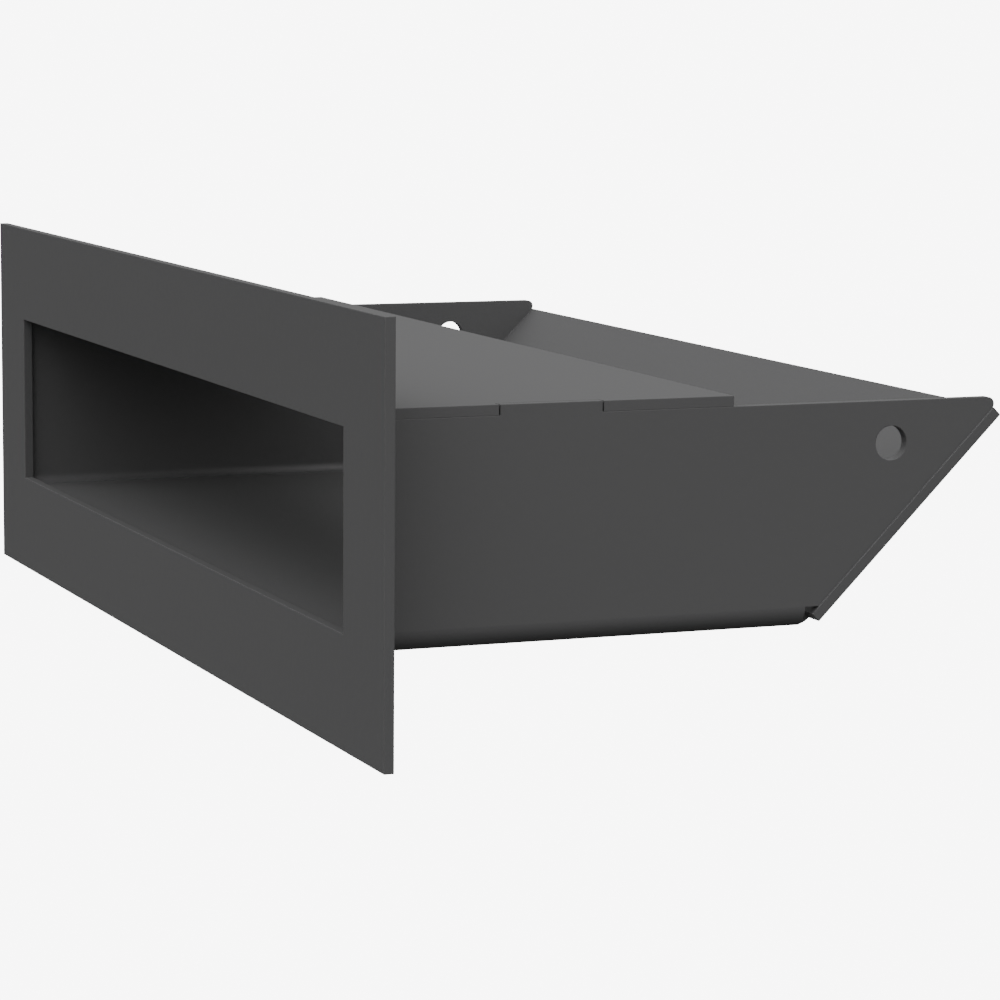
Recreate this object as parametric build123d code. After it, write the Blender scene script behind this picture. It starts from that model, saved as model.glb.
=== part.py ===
"""Built-in warm-air vent in powder-coated sheet steel, in millimetres.

A flat front frame with a wide slot closes the wall opening. Behind it a folded tray (floor, two
side walls and a back wall at 45 degrees) and a flat top panel make a duct that is open upwards at
its rear, so that air falls in from above and leaves forwards through the slot.

Frame: origin at the centre of the front frame's rear face, which lies on the wall.
+Y goes into the wall, +Z is up, +X is to the right of someone who faces the vent from the room.
"""

from build123d import *
from math import cos, radians, sin, tan
import os

os.makedirs("parts", exist_ok=True)

# Front frame
frame_width = 200.0
frame_height = 60.0
frame_border = 16.0
frame_sheet = 1.5

# Duct behind the slot
side_step = 1.1
top_step = 1.0
floor_step = 1.2
duct_sheet = 1.5
inner_bend_radius = 1.5
floor_length = 67.6
back_angle = 45.0
back_top_drop = 1.5
back_overhang = 0.2
back_gap = 0.01
side_corner_radius = 1.0

# Top panel and the side walls' tabs that locate it
panel_sheet = 1.5
panel_depth = 54.8
tab_start = 20.0
tab_width = 15.0
tab_clearance = 0.2

# Fixing holes near the side walls' rear top corners
fixing_hole_diameter = 4.9
hole_below_top = 6.0
hole_from_corner = 17.8

# Deburring of the frame, of the panel's rear edge and of the back wall's top edge
edge_round = 0.1

# Stitch welds
bead_leg = 1.5
bead_bulge = 0.62
stitch_length = 12.0
frame_stitch_count = 4
panel_stitch_margin = 5.0
back_stitch_length = 8.0
back_stitch_count = 2
back_stitch_pitch = 13.0
back_stitch_margin = 2.0

# Sizes that follow
slot_width = frame_width - 2 * frame_border
slot_height = frame_height - 2 * frame_border
half_inner_width = slot_width / 2 + side_step
half_outer_width = half_inner_width + duct_sheet
outer_bend_radius = inner_bend_radius + duct_sheet
side_top = slot_height / 2 + top_step
floor_top = -slot_height / 2 - floor_step
floor_bottom = floor_top - duct_sheet
bend_line_x = half_inner_width - inner_bend_radius
bend_line_z = floor_top + inner_bend_radius
back_slope = radians(back_angle)
back_setback = outer_bend_radius * tan(back_slope / 2)
bend_line_y = floor_length - back_setback


def up_the_back(height_z, inset):
    """Y on a line parallel to the back wall, `inset` in from its outer face, at a height Z."""
    return floor_length + (height_z - floor_bottom) / tan(back_slope) - inset / sin(back_slope)


def name_and_export(solid, node):
    solid.label = node
    export_step(solid, f"parts/{node}.step")


def joined(solids):
    """One group of separate solids."""
    return Compound(children=list(solids))


def mirrored_pair(solid):
    return [solid, mirror(solid, about=Plane.YZ)]


# Front frame ---------------------------------------------------------------------------------

def make_front_frame():
    plate = Box(frame_width, frame_sheet, frame_height)
    slot = Box(slot_width, 2 * frame_sheet, slot_height)
    frame = Pos(0, -frame_sheet / 2, 0) * (plate - slot)
    front_edges = frame.faces().sort_by(Axis.Y)[0].edges()
    rear_edges = frame.faces().sort_by(Axis.Y)[-1].outer_wire().edges()
    return fillet(front_edges + rear_edges, edge_round)


# Duct tray -----------------------------------------------------------------------------------

def make_side_wall():
    """Flat part of the right side wall, above its bend."""
    corner_y = up_the_back(side_top, duct_sheet + back_gap)
    heel_y = up_the_back(bend_line_z, duct_sheet + back_gap)
    with BuildSketch(Plane.YZ) as outline:
        Polygon(
            (0, bend_line_z),
            (heel_y, bend_line_z),
            (corner_y, side_top),
            (0, side_top),
            align=None,
        )
        rear_corner = outline.vertices().sort_by(Axis.Y)[-1]
        fillet(rear_corner, side_corner_radius)
        with Locations((tab_start + tab_width / 2, side_top)):
            Rectangle(tab_width, 2 * panel_sheet)
        with Locations((corner_y - hole_from_corner, side_top - hole_below_top)):
            Circle(fixing_hole_diameter / 2, mode=Mode.SUBTRACT)
    return Pos(half_inner_width, 0, 0) * extrude(outline.sketch, duct_sheet)


def make_side_bend():
    """Quarter-round bend between the floor and the right side wall, up to the back's bend line."""
    with BuildSketch(Plane.XZ) as section:
        with Locations((bend_line_x, bend_line_z)):
            Circle(outer_bend_radius)
            Circle(inner_bend_radius, mode=Mode.SUBTRACT)
            Rectangle(
                outer_bend_radius,
                outer_bend_radius,
                align=(Align.MIN, Align.MAX),
                mode=Mode.INTERSECT,
            )
    return extrude(section.sketch, -bend_line_y)


def make_floor():
    return Pos(0, bend_line_y / 2, floor_bottom + duct_sheet / 2) * Box(
        2 * bend_line_x, bend_line_y, duct_sheet
    )


def make_back_bend():
    """Bend between the floor and the sloped back wall, narrower than both for the corner relief."""
    centre_z = floor_bottom + outer_bend_radius
    reach = 2 * outer_bend_radius
    with BuildSketch(Plane.YZ) as section:
        with Locations((bend_line_y, centre_z)):
            Circle(outer_bend_radius)
            Circle(inner_bend_radius, mode=Mode.SUBTRACT)
            Polygon(
                (0, 0),
                (0, -reach),
                (reach * sin(back_slope / 2), -reach * cos(back_slope / 2)),
                (reach * sin(back_slope), -reach * cos(back_slope)),
                align=None,
                mode=Mode.INTERSECT,
            )
    return extrude(section.sketch, bend_line_x, both=True)


def make_back_wall():
    """Sloped sheet, a little wider than the duct, from its bend to its square-cut top edge."""
    up_slope = (0, cos(back_slope), sin(back_slope))
    outward = (0, sin(back_slope), -cos(back_slope))
    outer_face = Plane(origin=(0, floor_length, floor_bottom), x_dir=(-1, 0, 0), z_dir=outward)
    outer_top_z = side_top - back_top_drop - duct_sheet * cos(back_slope)
    outer_length = (outer_top_z - floor_bottom) / sin(back_slope)
    middle = Pos(0, (back_setback + outer_length) / 2, -duct_sheet / 2)
    width = 2 * (half_outer_width + back_overhang)
    sheet = outer_face * middle * Box(width, outer_length - back_setback, duct_sheet)
    top_face = sheet.faces().sort_by(Axis((0, 0, 0), up_slope))[-1]
    return fillet(top_face.edges(), edge_round)


def make_duct_tray():
    """Floor, side walls and back wall, folded from one blank."""
    tray = make_floor() + make_back_bend() + make_back_wall()
    for side in mirrored_pair(make_side_wall() + make_side_bend()):
        tray += side
    return tray


# Top panel -----------------------------------------------------------------------------------

def make_top_panel():
    """Flat panel on the side walls' top edges, notched at both sides for their tabs."""
    panel = Pos(0, panel_depth / 2, side_top + panel_sheet / 2) * Box(
        2 * half_outer_width, panel_depth, panel_sheet
    )
    notch_depth = duct_sheet + tab_clearance
    notch = Pos(half_outer_width, tab_start + tab_width / 2, side_top + panel_sheet / 2) * Box(
        2 * notch_depth, tab_width + 2 * tab_clearance, 2 * panel_sheet
    )
    for cut in mirrored_pair(notch):
        panel -= cut
    rear_face = panel.faces().sort_by(Axis.Y)[-1]
    return fillet(rear_face.edges(), edge_round)


# Welds ---------------------------------------------------------------------------------------

def bead(corner, first_leg, second_leg, length):
    """A fillet weld stitch, centred on `corner`, between two faces along the two legs."""
    along = Vector(*first_leg).cross(Vector(*second_leg))
    section_plane = Plane(origin=corner, x_dir=first_leg, z_dir=along)
    with BuildSketch(section_plane) as section:
        with BuildLine():
            Line((0, 0), (bead_leg, 0))
            ThreePointArc((bead_leg, 0), (bead_bulge * bead_leg, bead_bulge * bead_leg), (0, bead_leg))
            Line((0, bead_leg), (0, 0))
        make_face()
    return extrude(section.sketch, length / 2, both=True)


def spread(count, span):
    """Centres of `count` stitches, evenly shared over a span about zero."""
    return [span * ((i + 0.5) / count - 0.5) for i in range(count)]


def make_frame_welds():
    """Stitches between the frame's rear face and the outside of the duct."""
    stitches = []
    for x in spread(frame_stitch_count, 2 * bend_line_x):
        stitches.append(bead((x, 0, side_top + panel_sheet), (0, 1, 0), (0, 0, 1), stitch_length))
        stitches.append(bead((x, 0, floor_bottom), (0, 0, -1), (0, 1, 0), stitch_length))
    stitches += mirrored_pair(bead((half_outer_width, 0, 0), (1, 0, 0), (0, 1, 0), stitch_length))
    return joined(stitches)


def make_panel_welds():
    """Stitches under the panel, in its corners with the side walls' inner faces."""
    first = panel_stitch_margin + stitch_length / 2
    last = panel_depth - first
    stitches = []
    for y in (first, last):
        stitch = bead((half_inner_width, y, side_top), (0, 0, -1), (-1, 0, 0), stitch_length)
        stitches += mirrored_pair(stitch)
    return joined(stitches)


def make_back_welds():
    """Stitches up the inside corners between the side walls and the back wall."""
    up_slope = Vector(0, cos(back_slope), sin(back_slope))
    inward = Vector(0, -sin(back_slope), cos(back_slope))
    start_z = bend_line_z + duct_sheet
    start = Vector(half_inner_width, up_the_back(start_z, duct_sheet), start_z)
    stitches = []
    for i in range(back_stitch_count):
        rise = back_stitch_margin + back_stitch_length / 2 + i * back_stitch_pitch
        centre = start + up_slope * rise
        stitches += mirrored_pair(bead(centre, (-1, 0, 0), tuple(inward), back_stitch_length))
    return joined(stitches)


name_and_export(make_front_frame(), "front_frame")
name_and_export(make_duct_tray(), "duct_tray")
name_and_export(make_top_panel(), "top_panel")
name_and_export(make_frame_welds(), "frame_welds")
name_and_export(make_panel_welds(), "panel_welds")
name_and_export(make_back_welds(), "back_welds")
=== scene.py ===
"""Looks for a built-in warm-air vent in graphite powder-coated sheet steel.

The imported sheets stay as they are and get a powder-coat finish. Each plain weld stitch is replaced
by a rippled bead with tapered ends, in the same place. Lengths are metres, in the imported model's
own frame: the front frame faces -Y, +Y goes into the wall and +Z is up.
"""

import math

import bmesh
import bpy
from mathutils import Matrix, Vector


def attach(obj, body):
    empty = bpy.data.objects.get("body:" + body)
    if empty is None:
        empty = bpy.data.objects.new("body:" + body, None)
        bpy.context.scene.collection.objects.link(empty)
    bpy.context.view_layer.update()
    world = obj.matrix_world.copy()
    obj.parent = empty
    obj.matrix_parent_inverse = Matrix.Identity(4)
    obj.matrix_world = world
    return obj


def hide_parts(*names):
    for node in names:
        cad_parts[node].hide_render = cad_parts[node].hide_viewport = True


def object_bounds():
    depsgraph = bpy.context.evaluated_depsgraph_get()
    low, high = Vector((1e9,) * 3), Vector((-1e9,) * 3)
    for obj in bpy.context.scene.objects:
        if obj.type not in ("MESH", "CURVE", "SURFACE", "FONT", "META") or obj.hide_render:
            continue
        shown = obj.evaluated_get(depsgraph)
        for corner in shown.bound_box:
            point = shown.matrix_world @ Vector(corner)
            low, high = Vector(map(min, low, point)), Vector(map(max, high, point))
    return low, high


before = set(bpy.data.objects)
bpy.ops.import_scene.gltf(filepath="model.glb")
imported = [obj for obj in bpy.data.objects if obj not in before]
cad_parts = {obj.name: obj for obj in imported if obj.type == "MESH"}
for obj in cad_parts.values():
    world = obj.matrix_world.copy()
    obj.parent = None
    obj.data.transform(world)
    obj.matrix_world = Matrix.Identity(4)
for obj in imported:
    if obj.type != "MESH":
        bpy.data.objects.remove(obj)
cad_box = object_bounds()

MM = 0.001
BODY = "root"
SHEET_NODES = ("front_frame", "duct_tray", "top_panel")
COAT_SLOT = "graphite_powder_coat"
WELD_SLOT = "coated_weld"

# Powder coat: one paint on the sheets and the welds, a little rougher in relief on the welds
POWDER_FINISH = {
    "Light Tone": (0.0725, 0.0725, 0.0735, 1.0),
    "Dark Tone": (0.0665, 0.0665, 0.0675, 1.0),
    "Grain Scale": 3200.0,
    "Peel Scale": 650.0,
    "Drift Scale": 18.0,
    "Roughness Middle": 0.55,
    "Roughness Spread": 0.06,
}
SHEET_GRAIN_HEIGHT = 0.02 * MM
WELD_GRAIN_HEIGHT = 0.03 * MM
EDGE_ROUND = 0.15 * MM
EDGE_SAMPLES = 8

# Noise textures as (detail, roughness), and the shares in which two of them are mixed
GRAIN_TEXTURE = (2.0, 0.6)
PEEL_TEXTURE = (1.0, 0.4)
DRIFT_TEXTURE = (3.0, 0.55)
WANDER_TEXTURE = (1.0, 0.5)
NOISE_MIDDLE = 0.5
GRAIN_IN_TONE = 0.6
DRIFT_IN_GLOSS = 0.6
PEEL_IN_HEIGHT = 0.7

# Weld beads
BEAD_FLATNESS = 0.17
RIPPLE_PITCH = 0.6 * MM
RIPPLE_DEPTH = 0.08
BEAD_WANDER = 0.06
WANDER_SCALE = 300.0
END_TAPER = 1.3 * MM
END_SIZE = 0.3
BEAD_SEED = 4.0
BEAD_SECTIONS = 121
BEAD_FACE_POINTS = 8
FIRST_LEG = "first_leg"
SECOND_LEG = "second_leg"

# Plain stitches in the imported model
MERGE_DISTANCE = 0.001 * MM
BACK_WALL_SLOPE = math.radians(45.0)
SIDE_STITCH_REACH = cad_box[1].z / 4

# Camera: a long lens from the right, a little above the vent
CAMERA_PLACE = (0.53502, -0.16133, 0.07075)
CAMERA_AZIMUTH = 67.98
CAMERA_DROP = 7.91
CAMERA_ROLL = 0.445
CAMERA_LENS = 130.28
CAMERA_NEAR = 0.01
CAMERA_FAR = 100.0
SENSOR_WIDTH = 36.0

# Studio: a ring of soft boxes overhead, evenly spaced from the room's side (azimuth 0) through +X
# (azimuth 90), and weak fill from low down, as (azimuth, elevation, strength)
RING_ELEVATION = 45.0
RING_STRENGTHS = (3.0, 2.5, 1.0, 1.4, 0.6, 0.3)
FILL_BOXES = (
    (135.0, -15.0, 0.35),
    (85.0, -40.0, 0.4),
    (300.0, -40.0, 0.35),
)
FULL_TURN = 360.0
SOFT_BOX_FOCUS = 6.0
BACKDROP_STRENGTH = 8.0
WHITE = (1.0, 1.0, 1.0, 1.0)
FLOOR_DROP = 0.25
FLOOR_SIZE = 40.0


# Node helpers ----------------------------------------------------------------------------------

def add_sockets(group, inputs, outputs):
    """Sockets of a node group, given as (name, kind, default) and (name, kind)."""
    for name, kind, default in inputs:
        socket = group.interface.new_socket(name, in_out="INPUT", socket_type=kind)
        if default is not None:
            socket.default_value = default
    for name, kind in outputs:
        group.interface.new_socket(name, in_out="OUTPUT", socket_type=kind)


def feed(tree, socket, value):
    """Set a socket to a number or a colour, or link an output to it."""
    if isinstance(value, (int, float, tuple)):
        socket.default_value = value
    else:
        tree.links.new(value, socket)


def calc(tree, operation, *values):
    """The result of one Math node on numbers and outputs."""
    node = tree.nodes.new("ShaderNodeMath")
    node.operation = operation
    for socket, value in zip(node.inputs, values):
        feed(tree, socket, value)
    return node.outputs[0]


def blend_of(tree, first, second, share):
    """A mix of two values: `share` of the first, and the rest of the second."""
    rest = calc(tree, "MULTIPLY", second, 1.0 - share)
    return calc(tree, "ADD", calc(tree, "MULTIPLY", first, share), rest)


def noise(tree, position, scale, texture):
    """A noise of the given (detail, roughness)."""
    detail, roughness = texture
    node = tree.nodes.new("ShaderNodeTexNoise")
    feed(tree, node.inputs["Vector"], position)
    feed(tree, node.inputs["Scale"], scale)
    feed(tree, node.inputs["Detail"], detail)
    feed(tree, node.inputs["Roughness"], roughness)
    return node.outputs["Fac"]


# Powder coat -----------------------------------------------------------------------------------

def make_powder_group():
    """Fine powder grain and orange peel, with a slight drift of tone and gloss over the sheet."""
    group = bpy.data.node_groups.new("powder_coat", "ShaderNodeTree")
    add_sockets(
        group,
        [
            ("Position", "NodeSocketVector", None),
            ("Light Tone", "NodeSocketColor", None),
            ("Dark Tone", "NodeSocketColor", None),
            ("Grain Scale", "NodeSocketFloat", None),
            ("Peel Scale", "NodeSocketFloat", None),
            ("Drift Scale", "NodeSocketFloat", None),
            ("Roughness Middle", "NodeSocketFloat", None),
            ("Roughness Spread", "NodeSocketFloat", None),
        ],
        [
            ("Color", "NodeSocketColor"),
            ("Roughness", "NodeSocketFloat"),
            ("Height", "NodeSocketFloat"),
        ],
    )
    entry = group.nodes.new("NodeGroupInput").outputs
    leave = group.nodes.new("NodeGroupOutput").inputs
    grain = noise(group, entry["Position"], entry["Grain Scale"], GRAIN_TEXTURE)
    peel = noise(group, entry["Position"], entry["Peel Scale"], PEEL_TEXTURE)
    drift = noise(group, entry["Position"], entry["Drift Scale"], DRIFT_TEXTURE)

    tones = group.nodes.new("ShaderNodeMix")
    tones.data_type = "RGBA"
    feed(group, tones.inputs["Factor"], blend_of(group, grain, drift, GRAIN_IN_TONE))
    feed(group, tones.inputs["A"], entry["Dark Tone"])
    feed(group, tones.inputs["B"], entry["Light Tone"])
    feed(group, leave["Color"], tones.outputs["Result"])

    offset = calc(group, "SUBTRACT", blend_of(group, drift, grain, DRIFT_IN_GLOSS), NOISE_MIDDLE)
    spread = calc(group, "MULTIPLY", offset, entry["Roughness Spread"])
    feed(group, leave["Roughness"], calc(group, "ADD", entry["Roughness Middle"], spread))
    feed(group, leave["Height"], blend_of(group, peel, grain, PEEL_IN_HEIGHT))
    return group


POWDER_GROUP = make_powder_group()


def make_coat(name, finish, grain_height):
    """A powder-coat material: the shared group with this finish's values, over softened edges."""
    material = bpy.data.materials.new(name)
    material.use_nodes = True
    tree = material.node_tree
    shader = tree.nodes["Principled BSDF"]
    place = tree.nodes.new("ShaderNodeTexCoord")
    coat = tree.nodes.new("ShaderNodeGroup")
    coat.node_tree = POWDER_GROUP
    for socket_name, value in finish.items():
        feed(tree, coat.inputs[socket_name], value)
    edges = tree.nodes.new("ShaderNodeBevel")
    edges.samples = EDGE_SAMPLES
    feed(tree, edges.inputs["Radius"], EDGE_ROUND)
    bump = tree.nodes.new("ShaderNodeBump")
    feed(tree, bump.inputs["Distance"], grain_height)
    feed(tree, bump.inputs["Normal"], edges.outputs["Normal"])
    feed(tree, coat.inputs["Position"], place.outputs["Object"])
    feed(tree, bump.inputs["Height"], coat.outputs["Height"])
    feed(tree, shader.inputs["Base Color"], coat.outputs["Color"])
    feed(tree, shader.inputs["Roughness"], coat.outputs["Roughness"])
    feed(tree, shader.inputs["Normal"], bump.outputs["Normal"])
    return material


def dress_sheets():
    """One powder coat on the frame, the tray and the panel."""
    coat = make_coat(COAT_SLOT, POWDER_FINISH, SHEET_GRAIN_HEIGHT)
    for node in SHEET_NODES:
        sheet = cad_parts[node]
        sheet.data.materials.clear()
        sheet.data.materials.append(coat)


# Weld beads ------------------------------------------------------------------------------------

def frame_weld_legs(middle):
    """Out from the duct's wall, and along it from the frame's rear face.

    A stitch near mid-height is on a side wall, and the others are above or below the duct.
    """
    if abs(middle.z) > SIDE_STITCH_REACH:
        return Vector((0, 0, math.copysign(1, middle.z))), Vector((0, 1, 0))
    return Vector((math.copysign(1, middle.x), 0, 0)), Vector((0, 1, 0))


def panel_weld_legs(middle):
    """Down the side wall, and inwards under the panel."""
    return Vector((0, 0, -1)), Vector((-math.copysign(1, middle.x), 0, 0))


def back_weld_legs(middle):
    """Inwards along the back wall, and out from its sloped inner face."""
    out = Vector((0, -math.sin(BACK_WALL_SLOPE), math.cos(BACK_WALL_SLOPE)))
    return Vector((-math.copysign(1, middle.x), 0, 0)), out


WELD_LEGS = {
    "frame_welds": frame_weld_legs,
    "panel_welds": panel_weld_legs,
    "back_welds": back_weld_legs,
}


def joined_points(start, seen):
    """The places of every vertex that edges join to this one. They are added to `seen`."""
    seen.add(start)
    queue = [start]
    points = []
    while queue:
        vertex = queue.pop()
        points.append(vertex.co.copy())
        for edge in vertex.link_edges:
            other = edge.other_vert(vertex)
            if other not in seen:
                seen.add(other)
                queue.append(other)
    return points


def separate_stitches(node):
    """The corner points of each loose solid in a weld node, in the order of the node's mesh."""
    copy = bmesh.new()
    copy.from_mesh(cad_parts[node].data)
    bmesh.ops.remove_doubles(copy, verts=copy.verts, dist=MERGE_DISTANCE)
    seen = set()
    stitches = []
    for vertex in copy.verts:
        if vertex not in seen:
            stitches.append(joined_points(vertex, seen))
    copy.free()
    return stitches


def measure_stitch(node, points):
    """Root corner at mid-length, the two legs' directions, the leg's size and the length."""
    middle = sum(points, Vector()) / len(points)
    first, second = WELD_LEGS[node](middle)
    along = first.cross(second)
    runs = [[point.dot(axis) for point in points] for axis in (along, first, second)]
    root = along * (min(runs[0]) + max(runs[0])) / 2 + first * min(runs[1]) + second * min(runs[2])
    return {
        "root": root,
        FIRST_LEG: first,
        SECOND_LEG: second,
        "leg": max(runs[1]) - min(runs[1]),
        "length": max(runs[0]) - min(runs[0]),
    }


def on_axis(tree, x=0.0, y=0.0, z=0.0):
    """A vector made of up to three numbers or outputs."""
    node = tree.nodes.new("ShaderNodeCombineXYZ")
    for socket, value in zip(node.inputs, (x, y, z)):
        feed(tree, socket, value)
    return node.outputs[0]


def stored_vector(tree, name):
    """The vector that each stitch's point carries under this name."""
    node = tree.nodes.new("GeometryNodeInputNamedAttribute")
    node.data_type = "FLOAT_VECTOR"
    node.inputs["Name"].default_value = name
    return node.outputs["Attribute"]


def bead_profile(tree, entry):
    """Closed section: a quarter circle about the root corner, with its face pressed flatter.

    It lies on the sweep's negative sides, which Curve to Mesh turns to +Y and +Z.
    """
    pie = tree.nodes.new("GeometryNodeCurveArc")
    pie.mode = "RADIUS"
    pie.inputs["Resolution"].default_value = BEAD_FACE_POINTS
    pie.inputs["Start Angle"].default_value = math.pi
    pie.inputs["Sweep Angle"].default_value = math.pi / 2
    pie.inputs["Connect Center"].default_value = True
    feed(tree, pie.inputs["Radius"], entry["Leg"])
    place = tree.nodes.new("GeometryNodeInputPosition")
    parts = tree.nodes.new("ShaderNodeSeparateXYZ")
    feed(tree, parts.inputs[0], place.outputs[0])
    corner = calc(tree, "MULTIPLY", parts.outputs["X"], parts.outputs["Y"])
    area = calc(tree, "MULTIPLY", entry["Leg"], entry["Leg"])
    press = calc(tree, "MULTIPLY", calc(tree, "DIVIDE", corner, area), entry["Flatness"])
    keep = calc(tree, "SUBTRACT", 1.0, press)
    scaled = tree.nodes.new("ShaderNodeVectorMath")
    scaled.operation = "SCALE"
    feed(tree, scaled.inputs["Vector"], place.outputs[0])
    feed(tree, scaled.inputs["Scale"], keep)
    pressed = tree.nodes.new("GeometryNodeSetPosition")
    feed(tree, pressed.inputs["Geometry"], pie.outputs["Curve"])
    feed(tree, pressed.inputs["Position"], scaled.outputs["Vector"])
    return pressed.outputs["Geometry"]


def bead_size(tree, entry):
    """Size of the section along the bead: round ends, a ripple at each pitch and a slow wander."""
    run = tree.nodes.new("GeometryNodeSplineParameter").outputs["Length"]
    to_end = calc(tree, "MINIMUM", run, calc(tree, "SUBTRACT", entry["Length"], run))
    share = calc(tree, "MINIMUM", calc(tree, "DIVIDE", to_end, entry["End Taper"]), 1.0)
    gap = calc(tree, "SUBTRACT", 1.0, share)
    taper = calc(tree, "SQRT", calc(tree, "SUBTRACT", 1.0, calc(tree, "MULTIPLY", gap, gap)))
    rounded = calc(tree, "MAXIMUM", taper, END_SIZE)

    wander = noise(tree, on_axis(tree, x=run, y=entry["Seed"]), WANDER_SCALE, WANDER_TEXTURE)
    phase = calc(tree, "ADD", calc(tree, "DIVIDE", run, entry["Ripple Pitch"]), wander)
    hump = calc(tree, "SINE", calc(tree, "MULTIPLY", calc(tree, "FRACT", phase), math.pi))
    ripple = calc(tree, "MULTIPLY", calc(tree, "SUBTRACT", hump, 1.0), entry["Ripple Depth"])
    drift = calc(tree, "MULTIPLY", calc(tree, "SUBTRACT", wander, 1.0), entry["Wander"])
    relief = calc(tree, "ADD", 1.0, calc(tree, "ADD", ripple, drift))
    return calc(tree, "MULTIPLY", rounded, relief)


def make_bead_tree(material):
    """One bead with its root along X, set on every stitch and turned to its two legs."""
    tree = bpy.data.node_groups.new("weld_beads", "GeometryNodeTree")
    add_sockets(
        tree,
        [
            ("Stitches", "NodeSocketGeometry", None),
            ("Leg", "NodeSocketFloat", None),
            ("Length", "NodeSocketFloat", None),
            ("Flatness", "NodeSocketFloat", BEAD_FLATNESS),
            ("Ripple Pitch", "NodeSocketFloat", RIPPLE_PITCH),
            ("Ripple Depth", "NodeSocketFloat", RIPPLE_DEPTH),
            ("Wander", "NodeSocketFloat", BEAD_WANDER),
            ("End Taper", "NodeSocketFloat", END_TAPER),
            ("Seed", "NodeSocketFloat", BEAD_SEED),
        ],
        [("Beads", "NodeSocketGeometry")],
    )
    entry = tree.nodes.new("NodeGroupInput").outputs
    leave = tree.nodes.new("NodeGroupOutput").inputs

    half = calc(tree, "MULTIPLY", entry["Length"], 0.5)
    line = tree.nodes.new("GeometryNodeCurvePrimitiveLine")
    feed(tree, line.inputs["Start"], on_axis(tree, x=calc(tree, "MULTIPLY", half, -1.0)))
    feed(tree, line.inputs["End"], on_axis(tree, x=half))
    root = tree.nodes.new("GeometryNodeResampleCurve")
    root.inputs["Count"].default_value = BEAD_SECTIONS
    feed(tree, root.inputs["Curve"], line.outputs["Curve"])

    sweep = tree.nodes.new("GeometryNodeCurveToMesh")
    feed(tree, sweep.inputs["Curve"], root.outputs["Curve"])
    feed(tree, sweep.inputs["Profile Curve"], bead_profile(tree, entry))
    feed(tree, sweep.inputs["Scale"], bead_size(tree, entry))
    sweep.inputs["Fill Caps"].default_value = True

    turn = tree.nodes.new("FunctionNodeAxesToRotation")
    turn.primary_axis = "Y"
    turn.secondary_axis = "Z"
    feed(tree, turn.inputs["Primary Axis"], stored_vector(tree, FIRST_LEG))
    feed(tree, turn.inputs["Secondary Axis"], stored_vector(tree, SECOND_LEG))
    placed = tree.nodes.new("GeometryNodeInstanceOnPoints")
    feed(tree, placed.inputs["Points"], entry["Stitches"])
    feed(tree, placed.inputs["Instance"], sweep.outputs["Mesh"])
    feed(tree, placed.inputs["Rotation"], turn.outputs["Rotation"])
    real = tree.nodes.new("GeometryNodeRealizeInstances")
    feed(tree, real.inputs["Geometry"], placed.outputs["Instances"])
    finish = tree.nodes.new("GeometryNodeSetMaterial")
    finish.inputs["Material"].default_value = material
    feed(tree, finish.inputs["Geometry"], real.outputs["Geometry"])
    feed(tree, leave["Beads"], finish.outputs["Geometry"])
    return tree


def stitch_points(name, stitches):
    """A mesh of one point per stitch, at its root's middle, that carries its two leg directions."""
    mesh = bpy.data.meshes.new(name)
    mesh.from_pydata([stitch["root"] for stitch in stitches], [], [])
    for attribute_name in (FIRST_LEG, SECOND_LEG):
        attribute = mesh.attributes.new(attribute_name, "FLOAT_VECTOR", "POINT")
        for item, stitch in zip(attribute.data, stitches):
            item.vector = stitch[attribute_name]
    return mesh


def set_input(modifier, name, value):
    """Give a value to a tree's input by its socket's identifier."""
    for item in modifier.node_group.interface.items_tree:
        if item.item_type == "SOCKET" and item.in_out == "INPUT" and item.name == name:
            modifier[item.identifier] = value


def lay_beads(node, tree):
    """Rippled beads in the place of a weld node's plain stitches, which are all of one size."""
    stitches = [measure_stitch(node, points) for points in separate_stitches(node)]
    name = node.replace("welds", "weld_beads")
    beads = bpy.data.objects.new(name, stitch_points(name, stitches))
    bpy.context.scene.collection.objects.link(beads)
    modifier = beads.modifiers.new("beads", "NODES")
    modifier.node_group = tree
    set_input(modifier, "Leg", stitches[0]["leg"])
    set_input(modifier, "Length", stitches[0]["length"])
    evaluated = beads.evaluated_get(bpy.context.evaluated_depsgraph_get())
    mesh = bpy.data.meshes.new_from_object(evaluated)
    beads.modifiers.remove(modifier)
    beads.data = mesh
    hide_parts(node)
    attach(beads, BODY)


def dress_welds():
    """Coated beads on all three weld nodes, from one tree."""
    tree = make_bead_tree(make_coat(WELD_SLOT, POWDER_FINISH, WELD_GRAIN_HEIGHT))
    for node in WELD_LEGS:
        lay_beads(node, tree)


# Studio ----------------------------------------------------------------------------------------

def make_floor():
    """A wide pale floor well below the vent, which hangs in its wall.

    It glows for the camera alone, so it gives the vent no light and takes no shade from it.
    """
    mesh = bpy.data.meshes.new("floor")
    half = FLOOR_SIZE / 2
    level = cad_box[0].z - FLOOR_DROP
    corners = [(-half, -half, level), (half, -half, level), (half, half, level), (-half, half, level)]
    mesh.from_pydata(corners, [], [(0, 1, 2, 3)])
    material = bpy.data.materials.new("pale_floor")
    material.use_nodes = True
    tree = material.node_tree
    tree.nodes.clear()
    glow = tree.nodes.new("ShaderNodeEmission")
    feed(tree, glow.inputs["Strength"], BACKDROP_STRENGTH)
    output = tree.nodes.new("ShaderNodeOutputMaterial")
    feed(tree, output.inputs["Surface"], glow.outputs["Emission"])
    mesh.materials.append(material)
    floor = bpy.data.objects.new("floor", mesh)
    floor.visible_diffuse = False
    floor.visible_glossy = False
    floor.visible_shadow = False
    bpy.context.scene.collection.objects.link(floor)


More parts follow.
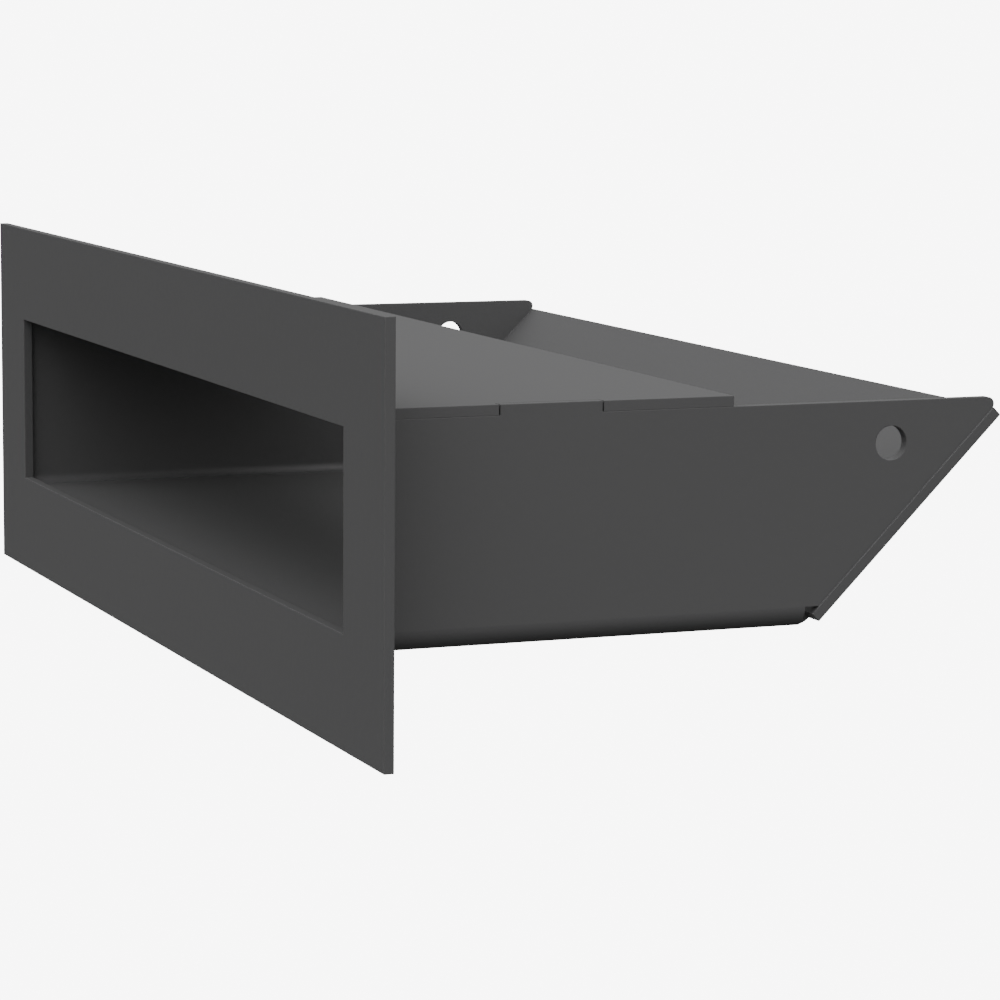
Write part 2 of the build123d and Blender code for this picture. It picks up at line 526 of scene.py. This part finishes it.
def soft_boxes():
    """Every soft box as (azimuth, elevation, strength): the ring, then the fill."""
    spacing = FULL_TURN / len(RING_STRENGTHS)
    ring = [(place * spacing, RING_ELEVATION, strength) for place, strength in enumerate(RING_STRENGTHS)]
    return ring + list(FILL_BOXES)


def soft_box(tree, direction, azimuth, elevation, strength):
    """Light that falls off evenly around one direction."""
    turn = math.radians(azimuth)
    rise = math.radians(elevation)
    towards = tree.nodes.new("ShaderNodeVectorMath")
    towards.operation = "DOT_PRODUCT"
    towards.inputs[1].default_value = (
        math.cos(rise) * math.sin(turn),
        -math.cos(rise) * math.cos(turn),
        math.sin(rise),
    )
    feed(tree, towards.inputs[0], direction)
    facing = calc(tree, "MAXIMUM", towards.outputs["Value"], 0.0)
    return calc(tree, "MULTIPLY", calc(tree, "POWER", facing, SOFT_BOX_FOCUS), strength)


def make_world():
    """Soft boxes all round, with a plain white backdrop that only the camera sees."""
    world = bpy.data.worlds.new("studio")
    bpy.context.scene.world = world
    world.use_nodes = True
    tree = world.node_tree
    tree.nodes.clear()
    direction = tree.nodes.new("ShaderNodeTexCoord").outputs["Generated"]
    light = 0.0
    for azimuth, elevation, strength in soft_boxes():
        light = calc(tree, "ADD", light, soft_box(tree, direction, azimuth, elevation, strength))
    seen = tree.nodes.new("ShaderNodeLightPath").outputs["Is Camera Ray"]
    chosen = tree.nodes.new("ShaderNodeMix")
    feed(tree, chosen.inputs["Factor"], seen)
    feed(tree, chosen.inputs["A"], light)
    feed(tree, chosen.inputs["B"], BACKDROP_STRENGTH)
    background = tree.nodes.new("ShaderNodeBackground")
    feed(tree, background.inputs["Color"], WHITE)
    feed(tree, background.inputs["Strength"], chosen.outputs["Result"])
    output = tree.nodes.new("ShaderNodeOutputWorld")
    feed(tree, output.inputs["Surface"], background.outputs["Background"])


def make_camera():
    """The camera, aimed along its azimuth and drop and then rolled."""
    azimuth = math.radians(CAMERA_AZIMUTH)
    drop = math.radians(CAMERA_DROP)
    ahead = Vector((
        -math.sin(azimuth) * math.cos(drop),
        math.cos(azimuth) * math.cos(drop),
        -math.sin(drop),
    ))
    data = bpy.data.cameras.new("camera")
    data.lens = CAMERA_LENS
    data.sensor_width = SENSOR_WIDTH
    data.clip_start = CAMERA_NEAR
    data.clip_end = CAMERA_FAR
    camera = bpy.data.objects.new("camera", data)
    bpy.context.scene.collection.objects.link(camera)
    level = ahead.to_track_quat("-Z", "Y").to_matrix()
    turn = level @ Matrix.Rotation(math.radians(CAMERA_ROLL), 3, "Z")
    camera.matrix_world = Matrix.Translation(CAMERA_PLACE) @ turn.to_4x4()
    bpy.context.scene.camera = camera


dress_sheets()
dress_welds()
make_floor()
make_world()
make_camera()
